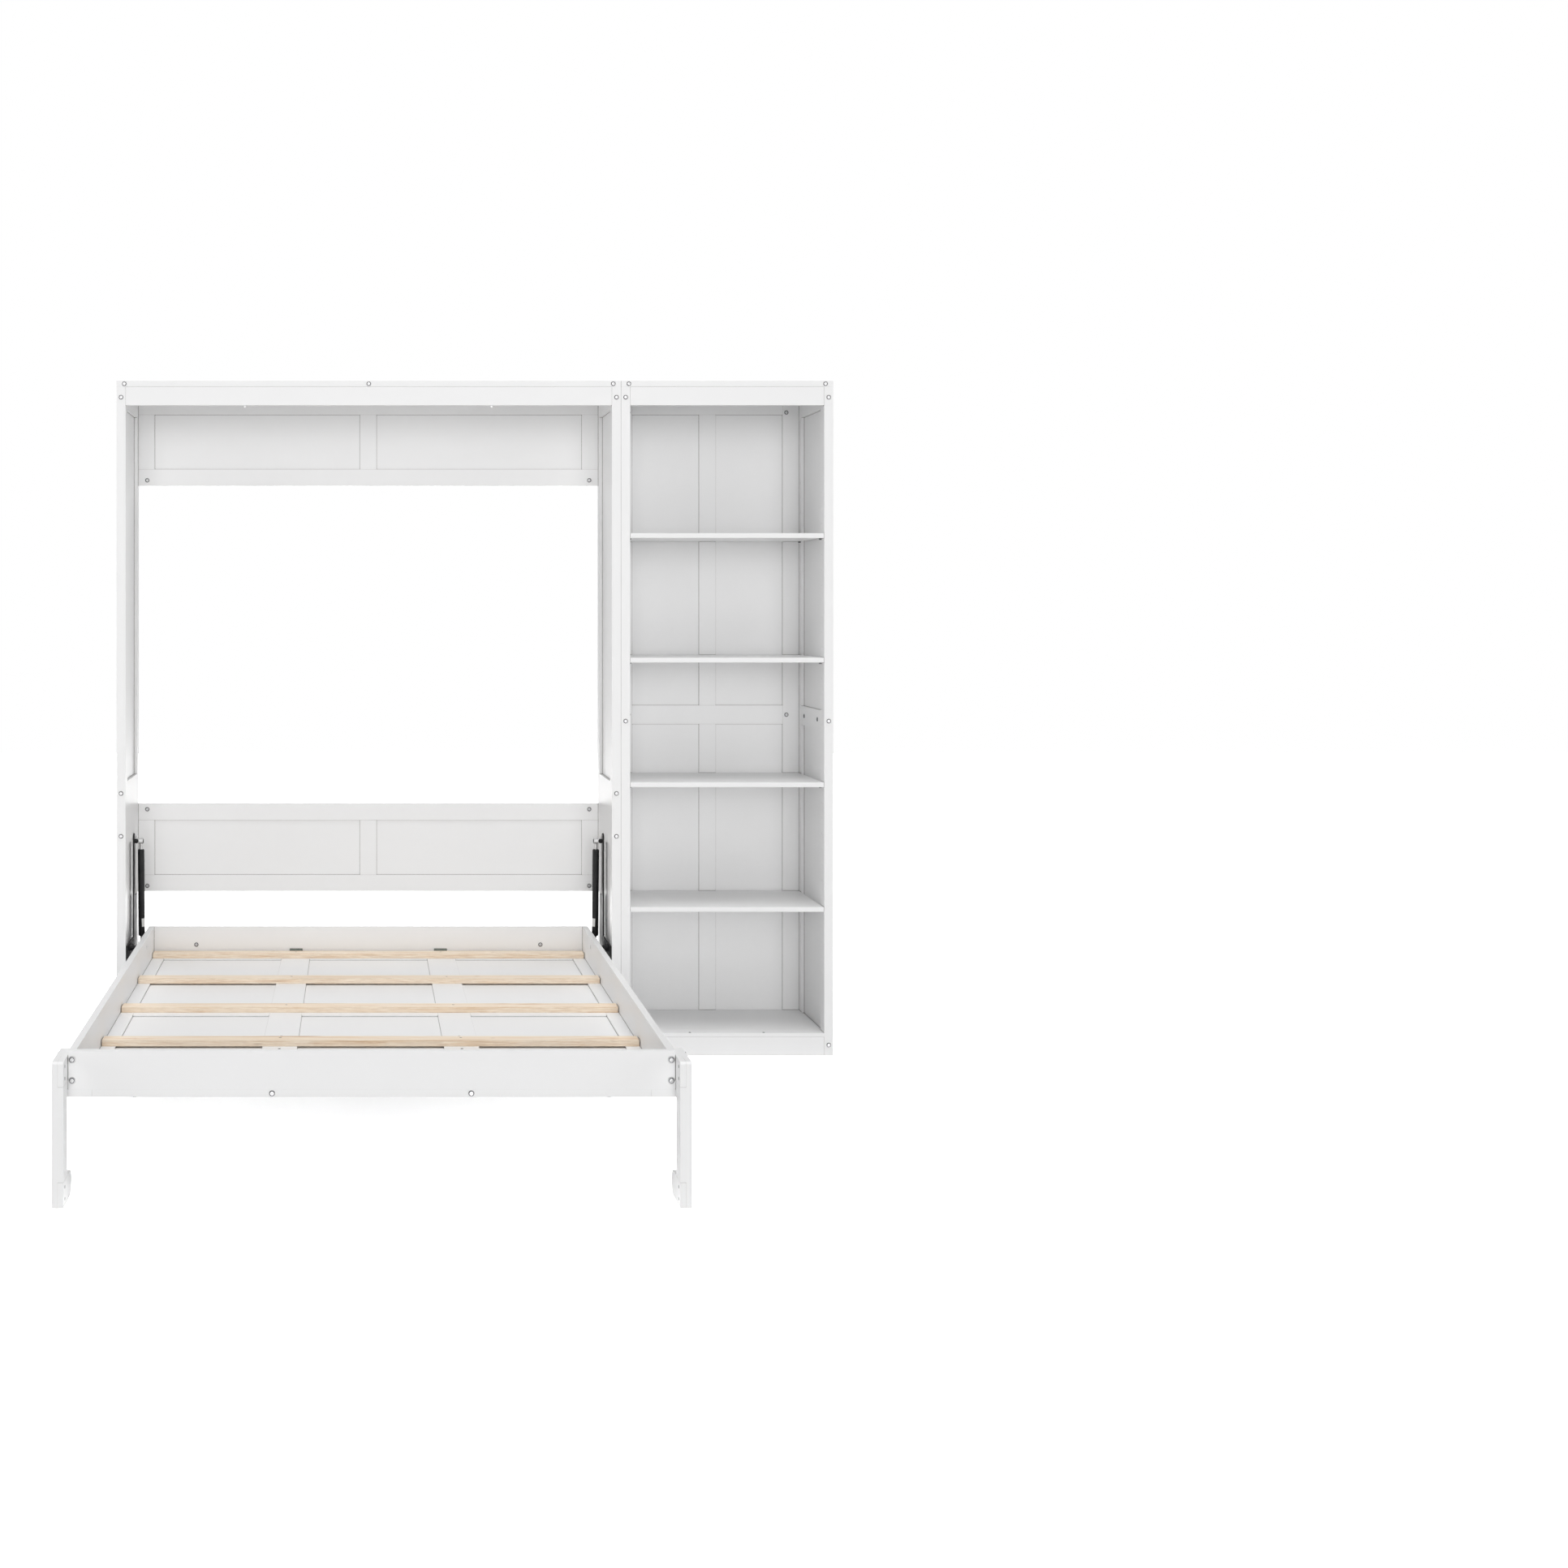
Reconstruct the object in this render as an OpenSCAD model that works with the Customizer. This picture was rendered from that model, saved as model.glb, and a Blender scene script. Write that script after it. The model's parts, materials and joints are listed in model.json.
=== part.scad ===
// Wall bed: a slatted bed box hinged in a shallow cabinet, with a shelf tower beside it.
// Drawn with the bed folded down. X runs along the wall, the wall is at the +Y end, Z is up.

/* [Mattress] */
// Width of the mattress
mattress_w = 1372; // [1300:1:1420]
// Length of the mattress
mattress_l = 1905; // [1850:1:1960]
// Room beside the mattress, on each side
mattress_side_gap = 13; // [5:0.5:20]
// Room beyond the mattress, at each end
mattress_end_gap = 5.5; // [3:0.5:12]

/* [Boards] */
// Thickness of the rails, back panels, top boards and door
board_t = 18; // [16:0.5:20]
// Thickness of the posts and side frames
side_t = 28; // [24:0.5:34]
// Thickness of a panel held in a frame
panel_t = 8; // [6:0.5:9]
// How deep a panel sits in its groove
groove_depth = 6; // [4:0.5:8]
// Play around a panel in its groove
groove_play = 0.2; // [0.1:0.05:0.3]
// Hairline joint between two boards of one frame
joint_line = 0.3; // [0.2:0.05:0.5]

/* [Cabinet] */
// Depth of the cabinet and the tower
cabinet_d = 400; // [380:1:430]
// Width of a post's side face
post_w = 54; // [48:1:58]
// Height of the base rail
base_h = 58; // [54:1:62]
// Height of the fascia under the top board
fascia_h = 58; // [50:1:66]
// Width of the top and bottom rails of a side frame
side_rail_h = 66; // [60:1:72]
// Height of the rail that carries the hinge plate
hinge_rail_h = 200; // [180:1:210]
// Height of the centre of the rail that carries the hinge plate
hinge_rail_z = 749; // [744:1:760]
// Height of a back panel
back_h = 288; // [270:1:300]
// Height of the lower back panel above the floor
back_low_z = 460; // [450:1:475]
// Width of the rails and stiles of a back panel
back_rail_w = 54; // [48:1:58]
// Distance between the two wall fixing holes
wall_hole_gap = 812.8; // [700:0.1:900]
// Radius of a wall fixing hole
wall_hole_r = 4; // [3:0.25:5]

/* [Bed] */
// Height of the underside of the door when the bed is down
door_z = 242; // [238:1:246]
// Height of the bed box rails
box_rail_h = 92; // [86:1:100]
// How far the door reaches past the box on each side
door_overhang = 34; // [33:0.5:36]
// Gap between the door's edge and the post
door_side_gap = 6; // [5:0.5:8]
// Gap under the folded door, above the base rail
door_foot_gap = 9; // [8:0.5:12]
// Gap over the folded door, under the fascia
door_head_gap = 5; // [4:0.5:8]
// How far the folded door's face lies behind the cabinet's front
door_recess = 1; // [0.5:0.5:3]
// Width of the door's stiles and rails
door_member_w = 90; // [80:1:100]
// Width of the door's rail at the head end
door_head_w = 93; // [80:1:110]
// Distance from the head end to the middle of the door's middle rail
door_mid = 992; // [970:1:1020]
// Height of the bed's hinge pin
pivot_z = 324; // [322:1:326]
// Radius of the bed's hinge pin
pivot_r = 6; // [5:0.5:8]
// Radial clearance of a pin in its bore
pin_play = 0.05; // [0.02:0.01:0.1]

/* [Slats] */
// Number of slats
slat_count = 4; // [3:1:5]
// Width of a slat
slat_w = 57; // [50:1:70]
// Thickness of a slat
slat_t = 15.5; // [13:0.5:20]
// Gap between a slat's end and the side rail
slat_end_gap = 2.5; // [2:0.5:15]
// Distance from the head end to the first slat
slat_first = 28; // [26:1:33]
// Distance from one slat to the next
slat_pitch = 458; // [440:1:460]
// Distance from a slat's edge on the head side to its screws
slat_screw_back = 20; // [12:1:30]

/* [Handles] */
// Length of a handle
handle_l = 250; // [200:1:300]
// Distance between a handle's posts
handle_post_gap = 160; // [128:1:192]
// Radius of a handle's bar
handle_r = 6; // [5:0.5:7]
// Distance from the door to the far side of the bar
handle_reach = 33; // [30:0.5:38]
// Distance of the handles' centre from the head end
handle_from_head = 1408; // [1402:1:1420]

/* [Legs] */
// Thickness of a leg
leg_t = 28; // [24:0.5:29]
// Gap between the leg and the bed box
leg_gap = 1; // [0.5:0.1:1.4]
// Width of the upright of a leg
leg_w = 64; // [60:1:66]
// Height of a leg above its pin
leg_above_pin = 12.5; // [12:0.5:14]
// Height of a leg's arm and of its foot
leg_arm_h = 59; // [55:1:60]
// Distance from the bed's end to the front of the leg
leg_front = 72; // [70:0.5:73]
// Distance from the bed's end back to the leg's pin
leg_pin_back = 56; // [54:0.5:58]
// Height of the leg's pin above the door
leg_pin_rise = 68; // [66:0.5:69]
// How far the arm reaches behind its pin
leg_arm_tail = 28; // [24:0.5:28]
// Length of the foot
leg_foot_l = 140; // [130:1:142]
// Radius of the corners at the back of the foot
foot_corner_r = 28; // [20:1:29]
// Radius of the corner at the top of the upright
leg_corner_r = 8; // [8:1:12]
// Radius of the leg's pin
leg_pin_r = 5; // [4:0.5:6]

/* [Gas struts] */
// Radius of the strut's tube
tube_r = 10.5; // [10:0.25:11]
// Length of the strut's tube
tube_l = 284; // [278:0.5:288]
// Wall of the strut's tube
tube_wall = 2.5; // [2:0.25:3]
// Radius of the strut's rod
rod_r = 5; // [4:0.25:6]
// Radius of the eye at each end of the strut
eye_r = 9; // [8:0.25:10]
// Radius of the stud that carries the strut
stud_r = 4; // [3:0.25:5]
// Thickness of the hinge plate on the cabinet
plate_t = 4; // [3:0.25:4.5]
// Thickness of the bracket on the bed
bracket_t = 3; // [2:0.25:3]
// Width of the hinge plate's upright
plate_w = 40; // [36:1:44]
// Depth of the upper strut stud in front of the wall
stud_y = -168; // [-178:1:-158]
// Height of the upper strut stud
stud_z = 642; // [640:1:646]
// Depth of the strut's lower end in front of the wall
strut_foot_y = -136; // [-144:1:-128]
// Height of the strut's lower end
strut_foot_z = 302; // [300:1:306]

/* [Tower] */
// Width of the tower
tower_w = 660; // [560:1:760]
// Gap between the cabinet and the tower
tower_gap = 0.6; // [0.4:0.1:0.9]
// Thickness of a shelf
shelf_t = 15; // [12:0.5:18]
// Height of the top of the lowest shelf
shelf_first = 462; // [420:1:480]
// Distance from one shelf to the next
shelf_pitch = 388; // [370:1:392]
// Thickness of the tower's bottom board
bottom_t = 12; // [10:0.5:15]
// Shelf pin positions between two shelves
pin_steps = 8; // [6:1:10]
// Radius of a shelf pin
shelf_pin_r = 2.5; // [2:0.25:3]
// Distance of the shelf pins from the front and the back of the post
shelf_pin_inset = 40; // [32:1:44]
// Width of the middle rail of the tower's frames
mid_rail_w = 61; // [55:1:66]

/* [Fasteners] */
// Radius of a bolt head
bolt_head_r = 6.5; // [5.5:0.25:7]
// Height of a bolt head
bolt_head_h = 2.5; // [2:0.25:3]
// Radius of a bolt's shank
bolt_r = 3; // [2.5:0.25:3.5]
// Length of a bolt's shank
bolt_l = 40; // [30:1:50]
// Radial clearance of a bolt in its hole
bolt_play = 0.25; // [0.1:0.05:0.4]

/* [Hidden] */
$fn = 32;
axle_fn = 48;
shelf_count = 4;
box_w = mattress_w + 2 * mattress_side_gap + 2 * board_t;
box_l = mattress_l + 2 * mattress_end_gap + 2 * board_t;
door_w = box_w + 2 * door_overhang;
door_t = board_t;
cabinet_in = door_w + 2 * door_side_gap;
cabinet_w = cabinet_in + 2 * side_t;
fold_z = base_h + door_foot_gap;
post_h = fold_z + box_l + door_head_gap + fascia_h;
cabinet_h = post_h + board_t;
pivot_y = -cabinet_d + door_recess + pivot_z - door_z;
head_y = pivot_z + pivot_y - fold_z;
foot_y = head_y - box_l;
leg_pin_y = foot_y + leg_pin_back;
leg_front_y = foot_y - leg_front;
box_z = door_z + door_t;
leg_pin_z = box_z + leg_pin_rise;
leg_h = leg_pin_z + leg_above_pin;
box_top = box_z + box_rail_h;
rail_mid = box_w / 2 - board_t / 2;
tower_x0 = cabinet_w / 2 + tower_gap;
tower_x1 = tower_x0 + tower_w;
tower_mid_z = post_h / 2;
pin_reach = 9;
stile_gap = (door_w - 4 * door_member_w) / 3;
inner_stile_x = stile_gap / 2 + door_member_w / 2;
cap_t = 1;
cap_gap = 0.5;
cap_r = stud_r + 2.5;
stud_collar_r = stud_r + 3;
pivot_collar_r = pivot_r + 5.5;
leg_head_r = leg_pin_r + 4;
handle_post_r = handle_r - 1.5;
handle_screw_l = 10;
eye_gap = 5.5;
eye_x0 = box_w / 2 + bracket_t + eye_gap;
eye_w = 14;
eye_mid = eye_x0 + eye_w / 2;
plate_x = cabinet_in / 2 - plate_t;
end_cap = 8;
gland = 12;
piston_l = 8;
screw_head_r = 4;
screw_head_h = 1;
screw_r = 2;
screw_l = 14;
sunk_play = 0.1;
lap_screw_l = 10;
lap_screw_gap = 28;
lap_screw_in = 24;
strut_dy = strut_foot_y - stud_y;
strut_dz = strut_foot_z - stud_z;
strut_l = sqrt(strut_dy * strut_dy + strut_dz * strut_dz);
strut_tilt = atan2(strut_dy, -strut_dz);
tube_top = 27;
centre_x = (tower_x1 - cabinet_w / 2) / 2;
centre_y = leg_front_y / 2;
WHITE = [0.93, 0.93, 0.92];
PINE = [0.85, 0.70, 0.50];
BLACK = [0.09, 0.09, 0.10];
ZINC = [0.66, 0.66, 0.66];
NICKEL = [0.74, 0.72, 0.69];

// Places the drawing so that its origin is under the middle of the whole object.
module placed() translate([-centre_x, -centre_y, 0]) children();
module mirrored() mirror([1, 0, 0]) children();
module both_sides() {
  children();
  mirrored() children();
}

// ---- Frames: members and openings are rectangles [u0, v0, u1, v1] in the frame's plane ----
module boards(list, t) {
  for (r = list)
    translate([r[0], r[1], 0]) cube([r[2] - r[0], r[3] - r[1], t]);
}
// The panel that fills each opening, held in the grooves; play grows it into the groove itself.
module panels(list, t, play) {
  for (r = list)
    translate([r[0] - groove_depth - play, r[1] - groove_depth - play, (t - panel_t) / 2 - play])
      cube([
        r[2] - r[0] + 2 * (groove_depth + play),
        r[3] - r[1] + 2 * (groove_depth + play),
        panel_t + 2 * play
      ]);
}
module frame_of(members, openings, t) {
  difference() {
    boards(members, t);
    panels(openings, t, groove_play);
  }
}
function between(u0, u1) = [u0 + joint_line, u1 - joint_line];
// Stands a frame in a side: u runs out from the wall, v up, and its thickness towards -X.
module as_side(x_outer) translate([x_outer, 0, 0]) rotate([90, 0, -90]) children();
// Stands a frame against the wall: u along X, v up, and its thickness towards the room.
module as_back() rotate([90, 0, 0]) children();
// Lays a frame under the bed box: u along X, v from the head end to the foot end.
module as_door() translate([0, head_y, door_z]) mirror([0, 1, 0]) children();

// ---- Fasteners ----
// A round-headed bolt along +Z with its shank below the face and a hexagon recess.
module bolt(shank = bolt_l) {
  difference() {
    rotate_extrude($fn = 24)
      polygon([
        [0, -shank], [bolt_r, -shank], [bolt_r, 0], [bolt_head_r, 0],
        [bolt_head_r, bolt_head_h * 0.45], [bolt_head_r * 0.72, bolt_head_h * 0.9],
        [bolt_head_r * 0.5, bolt_head_h], [0, bolt_head_h]
      ]);
    translate([0, 0, bolt_head_h * 0.3]) cylinder(h = bolt_head_h, r = bolt_r * 0.75, $fn = 6);
  }
}
module bolt_hole(shank = bolt_l) {
  translate([0, 0, -shank - bolt_play])
    cylinder(h = shank + bolt_play + 1, r = bolt_r + bolt_play, $fn = 24);
}
module facing_room() rotate([90, 0, 0]) children();
module facing_down() rotate([180, 0, 0]) children();
// A small screw with a flat round head along +Z.
module screw(shank = screw_l) {
  rotate_extrude($fn = 20)
    polygon([
      [0, -shank], [screw_r, -shank], [screw_r, 0], [screw_head_r, 0],
      [screw_head_r * 0.6, screw_head_h], [0, screw_head_h]
    ]);
}
module screw_hole(shank = screw_l) {
  translate([0, 0, -shank - bolt_play])
    cylinder(h = shank + bolt_play + 1, r = screw_r + bolt_play, $fn = 20);
}
// The same screw with its head just below the face, and the hole that takes it.
module sunk_screw(shank = screw_l) translate([0, 0, -screw_head_h - sunk_play]) screw(shank);
module sunk_hole(shank = screw_l) {
  screw_hole(shank);
  translate([0, 0, -screw_head_h - 2 * sunk_play])
    cylinder(h = screw_head_h + 2 * sunk_play + 1, r = screw_head_r + bolt_play, $fn = 24);
}

// ---- Cabinet ----
hinge_rail = [hinge_rail_z - hinge_rail_h / 2, hinge_rail_z + hinge_rail_h / 2];
side_span = between(post_w, cabinet_d - post_w);
cabinet_side_members = [
  [0, 0, post_w, post_h],
  [cabinet_d - post_w, 0, cabinet_d, post_h],
  [side_span[0], 0, side_span[1], side_rail_h],
  [side_span[0], hinge_rail[0], side_span[1], hinge_rail[1]],
  [side_span[0], post_h - side_rail_h, side_span[1], post_h],
];
cabinet_side_openings = [
  [post_w, side_rail_h, cabinet_d - post_w, hinge_rail[0]],
  [post_w, hinge_rail[1], cabinet_d - post_w, post_h - side_rail_h],
];
post_bolt_z = [
  side_rail_h / 2, hinge_rail_z - hinge_rail_h / 3, hinge_rail_z + hinge_rail_h / 3,
  post_h - side_rail_h / 2
];
cabinet_post_x = cabinet_w / 2 - side_t / 2;
module cabinet_post_bolts() {
  for (z = post_bolt_z)
    both_sides() translate([cabinet_post_x, -cabinet_d, z]) facing_room() children();
}
plate_screw_y = -cabinet_d + post_w / 2;
plate_screw_drop = 20;
plate_screw_rise = 11;
plate_screw_at = [
  [plate_screw_y, pivot_z - plate_screw_drop],
  [stud_y, hinge_rail[0] + plate_screw_rise],
];
module plate_screws() {
  for (p = plate_screw_at)
    both_sides() translate([plate_x, p[0], p[1]]) rotate([0, -90, 0]) children();
}
module cabinet_side_frame_right() color(WHITE) {
  difference() {
    as_side(cabinet_w / 2) frame_of(cabinet_side_members, cabinet_side_openings, side_t);
    cabinet_post_bolts() bolt_hole();
    plate_screws() translate([0, 0, -plate_t]) screw_hole();
  }
}
module cabinet_side_panels_right() color(WHITE)
  as_side(cabinet_w / 2) panels(cabinet_side_openings, side_t, 0);

top_bolt_z = post_h + board_t / 2;
top_bolt_inset = 24;
module cabinet_top_bolts() {
  for (x = [-cabinet_w / 2 + top_bolt_inset, 0, cabinet_w / 2 - top_bolt_inset])
    translate([x, -cabinet_d, top_bolt_z]) facing_room() children();
}
module cabinet_top_board() color(WHITE) difference() {
  translate([-cabinet_w / 2, -cabinet_d, post_h]) cube([cabinet_w, cabinet_d, board_t]);
  cabinet_top_bolts() bolt_hole();
}
module cabinet_fascia() color(WHITE)
  translate([-cabinet_in / 2, -cabinet_d, post_h - fascia_h]) cube([cabinet_in, board_t, fascia_h]);
module cabinet_base_rail() color(WHITE)
  translate([-cabinet_in / 2, -cabinet_d, 0]) cube([cabinet_in, board_t, base_h]);
module cabinet_bolts() color(ZINC) {
  cabinet_post_bolts() bolt();
  cabinet_top_bolts() bolt();
}

// ---- Back panels: a rail along each edge, a stile at each end and one in the middle ----
function back_members(z) = let (w = cabinet_in / 2, m = back_rail_w / 2,
    v = between(z + back_rail_w, z + back_h - back_rail_w)) [
  [-w, z, w, z + back_rail_w],
  [-w, z + back_h - back_rail_w, w, z + back_h],
  [-w, v[0], -w + back_rail_w, v[1]],
  [-m, v[0], m, v[1]],
  [w - back_rail_w, v[0], w, v[1]],
];
function back_openings(z) = let (w = cabinet_in / 2, m = back_rail_w / 2) [
  [-w + back_rail_w, z + back_rail_w, -m, z + back_h - back_rail_w],
  [m, z + back_rail_w, w - back_rail_w, z + back_h - back_rail_w],
];
back_high_z = post_h - back_h;
back_bolt_inset = 30;
back_bolt_l = board_t - 2;
module upper_back_bolts() {
  both_sides() translate([cabinet_in / 2 - back_bolt_inset, -board_t, back_high_z + board_t])
    facing_room() children();
}
module lower_back_bolts() {
  for (z = [back_low_z + board_t, back_low_z + back_h - board_t])
    both_sides() translate([cabinet_in / 2 - back_bolt_inset, -board_t, z]) facing_room() children();
}
module upper_back_frame() color(WHITE) difference() {
  as_back() frame_of(back_members(back_high_z), back_openings(back_high_z), board_t);
  upper_back_bolts() bolt_hole(back_bolt_l);
  both_sides() translate([wall_hole_gap / 2, 1, post_h - back_rail_w / 2]) rotate([90, 0, 0])
    cylinder(h = board_t + 2, r = wall_hole_r, $fn = 32);
}
module upper_back_panels() color(WHITE)
  as_back() panels(back_openings(back_high_z), board_t, 0);
module lower_back_frame() color(WHITE) difference() {
  as_back() frame_of(back_members(back_low_z), back_openings(back_low_z), board_t);
  lower_back_bolts() bolt_hole(back_bolt_l);
}
module lower_back_panels() color(WHITE)
  as_back() panels(back_openings(back_low_z), board_t, 0);
module back_panel_bolts() color(ZINC) {
  upper_back_bolts() bolt(back_bolt_l);
  lower_back_bolts() bolt(back_bolt_l);
}

// ---- Hinge plates: an upright, wider in its lower half, and a foot around the hinge pin ----
plate_drop = 34;
plate_rise = 14;
plate_front_gap = 12;
plate_flange = 50;
plate_step_rise = 140;
plate_head_rise = 5;
plate_low = pivot_z - plate_drop;
plate_foot_top = pivot_z + plate_rise;
plate_front = -cabinet_d + plate_front_gap;
plate_back = stud_y + plate_w / 2;
plate_step_z = pivot_z + plate_step_rise;
plate_head_z = stud_z + plate_head_rise;
module plate_outline() {
  polygon([
    [plate_back + plate_flange, plate_low], [plate_back + plate_flange, plate_step_z],
    [plate_back, plate_step_z], [plate_back, plate_head_z],
    [plate_back - plate_w, plate_head_z], [plate_back - plate_w, plate_foot_top],
    [plate_front, plate_foot_top], [plate_front, plate_low]
  ]);
  translate([stud_y, plate_head_z]) circle(r = plate_w / 2, $fn = 48);
}
// Turns an outline drawn in Y and Z into a plate whose thickness runs towards +X.
module across(x, t) translate([x, 0, 0]) rotate([90, 0, 90]) linear_extrude(height = t) children();
module pin_along_x(x0, x1, y, z, r) translate([x0, y, z]) rotate([0, 90, 0])
  cylinder(h = x1 - x0, r = r, $fn = axle_fn);
pin_inner_x = box_w / 2 - board_t + 2;
collar_w = 10;
rivet_back = 108;
rivet_rise = 4;
rivet_tail = 4;
rivet_y = pivot_y + rivet_back;
rivet_z = pivot_z + rivet_rise;
rivet_l = plate_t + rivet_tail;
module plate_rivets()
  both_sides() translate([plate_x, rivet_y, rivet_z]) rotate([0, -90, 0]) children();
module hinge_plate_right() color(BLACK) {
  difference() {
    across(plate_x, plate_t) plate_outline();
    plate_screws() sunk_hole();
    plate_rivets() screw_hole(rivet_l);
  }
  pin_along_x(pin_inner_x, plate_x + 1, pivot_y, pivot_z, pivot_r);
  pin_along_x(plate_x - collar_w, plate_x + 1, pivot_y, pivot_z, pivot_collar_r);
  pin_along_x(eye_x0 - cap_gap, plate_x + 1, stud_y, stud_z, stud_r);
  pin_along_x(eye_x0 - cap_gap - cap_t, eye_x0 - cap_gap, stud_y, stud_z, cap_r);
  pin_along_x(plate_x - collar_w, plate_x + 1, stud_y, stud_z, stud_collar_r);
}
module hinge_plate_screws() color(ZINC) {
  plate_screws() sunk_screw();
  plate_rivets() screw(rivet_l);
}

// ---- Tower ----
tower_side_members = [
  [0, 0, post_w, post_h],
  [cabinet_d - post_w, 0, cabinet_d, post_h],
  [side_span[0], 0, side_span[1], side_rail_h],
  [side_span[0], tower_mid_z - mid_rail_w / 2, side_span[1], tower_mid_z + mid_rail_w / 2],
  [side_span[0], post_h - side_rail_h, side_span[1], post_h],
];
tower_side_openings = [
  [post_w, side_rail_h, cabinet_d - post_w, tower_mid_z - mid_rail_w / 2],
  [post_w, tower_mid_z + mid_rail_w / 2, cabinet_d - post_w, post_h - side_rail_h],
];
tower_in0 = tower_x0 + side_t;
tower_in1 = tower_x1 - side_t;
tower_centre = (tower_x0 + tower_x1) / 2;
tower_post_z = [side_rail_h / 2, tower_mid_z, post_h - side_rail_h / 2];
pin_y = [-shelf_pin_inset, -cabinet_d + shelf_pin_inset];
function shelf_z(i) = shelf_first + (i - 1) * shelf_pitch;
module tower_post_bolts() {
  for (z = tower_post_z)
    for (x = [tower_x0 + side_t / 2, tower_x1 - side_t / 2])
      translate([x, -cabinet_d, z]) facing_room() children();
}
link_bolt_inset = 100;
tower_link_y = [-link_bolt_inset, -cabinet_d + link_bolt_inset];
module tower_link_bolts() {
  for (y = tower_link_y) {
    translate([tower_in0, y, tower_mid_z]) rotate([0, 90, 0]) children();
    translate([tower_in1, y, tower_mid_z]) rotate([0, -90, 0]) children();
  }
}
link_bolt_l = 20;
spare_pin_rows = 4;
module shelf_pin_holes() {
  for (k = [-spare_pin_rows : (shelf_count - 1) * pin_steps + spare_pin_rows])
    for (y = pin_y)
      translate([0, y, shelf_first - shelf_t - shelf_pin_r + k * shelf_pitch / pin_steps]) children();
}
module tower_side_frame(x_outer, face_x) color(WHITE) {
  difference() {
    as_side(x_outer) frame_of(tower_side_members, tower_side_openings, side_t);
    tower_post_bolts() bolt_hole();
    tower_link_bolts() bolt_hole(link_bolt_l);
    shelf_pin_holes() translate([face_x - pin_reach, 0, 0]) rotate([0, 90, 0])
      cylinder(h = 2 * pin_reach, r = shelf_pin_r, $fn = 16);
  }
}
module tower_side_panels(x_outer) color(WHITE)
  as_side(x_outer) panels(tower_side_openings, side_t, 0);
module tower_top_bolts() {
  for (x = [tower_x0 + top_bolt_inset, tower_x1 - top_bolt_inset])
    translate([x, -cabinet_d, top_bolt_z]) facing_room() children();
}
module tower_top_board() color(WHITE) difference() {
  translate([tower_x0, -cabinet_d, post_h]) cube([tower_w, cabinet_d, board_t]);
  tower_top_bolts() bolt_hole();
}
module tower_rail(z, h) color(WHITE)
  translate([tower_in0, -cabinet_d, z]) cube([tower_in1 - tower_in0, board_t, h]);
bottom_screw_y = -cabinet_d + board_t / 2;
bottom_screw_gap = 230;
module bottom_screws() {
  for (x = [tower_centre - bottom_screw_gap / 2, tower_centre + bottom_screw_gap / 2])
    translate([x, bottom_screw_y, base_h + bottom_t]) children();
}
module tower_bottom_board() color(WHITE) difference() {
  translate([tower_in0, -cabinet_d, base_h])
    cube([tower_in1 - tower_in0, cabinet_d - board_t, bottom_t]);
  bottom_screws() screw_hole(bottom_t);
}
tower_cols = [
  [tower_in0 + back_rail_w, tower_centre - back_rail_w / 2],
  [tower_centre + back_rail_w / 2, tower_in1 - back_rail_w],
];
tower_rows = [
  [side_rail_h, tower_mid_z - mid_rail_w / 2],
  [tower_mid_z + mid_rail_w / 2, post_h - back_rail_w],
];
tower_back_members = concat(
  [
    [tower_in0, 0, tower_cols[0][0], post_h],
    [tower_cols[1][1], 0, tower_in1, post_h],
  ],
  [for (v = [[0, side_rail_h], [tower_rows[0][1], tower_rows[1][0]], [tower_rows[1][1], post_h]])
    [tower_cols[0][0] + joint_line, v[0], tower_cols[1][1] - joint_line, v[1]]],
  [for (r = tower_rows)
    [tower_cols[0][1], r[0] + joint_line, tower_cols[1][0], r[1] - joint_line]]
);
tower_back_openings = [for (c = tower_cols) for (r = tower_rows) [c[0], r[0], c[1], r[1]]];
tower_back_bolt_inset = 42;
tower_back_bolt_drop = 20;
module tower_back_bolts() {
  for (z = [tower_mid_z, post_h - back_rail_w / 2 - tower_back_bolt_drop])
    for (x = [tower_in0 + tower_back_bolt_inset, tower_in1 - tower_back_bolt_inset])
      translate([x, -board_t, z]) facing_room() children();
}
module tower_back_frame() color(WHITE) difference() {
  as_back() frame_of(tower_back_members, tower_back_openings, board_t);
  tower_back_bolts() bolt_hole(back_bolt_l);
}
module tower_back_panels() color(WHITE)
  as_back() panels(tower_back_openings, board_t, 0);
shelf_fit = 0.4;
module shelf(i) color(WHITE)
  translate([tower_in0 + shelf_fit, -cabinet_d, shelf_z(i) - shelf_t])
    cube([tower_in1 - tower_in0 - 2 * shelf_fit, cabinet_d - board_t, shelf_t]);
// Each shelf lies on four pins: a shank in the post and a stub under the shelf.
module shelf_pins() color(ZINC) {
  for (i = [1 : shelf_count])
    for (y = pin_y)
      for (s = [[tower_in0, 1], [tower_in1, -1]])
        translate([s[0], y, shelf_z(i) - shelf_t - shelf_pin_r]) rotate([0, s[1] * 90, 0])
          translate([0, 0, -pin_reach + 1])
            cylinder(h = 2 * pin_reach - 2, r = shelf_pin_r - bolt_play / 4, $fn = 16);
}
module tower_bolts() color(ZINC) {
  tower_post_bolts() bolt();
  tower_top_bolts() bolt();
  tower_link_bolts() bolt(link_bolt_l);
  tower_back_bolts() bolt(back_bolt_l);
  bottom_screws() screw(bottom_t - 1);
}

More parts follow.
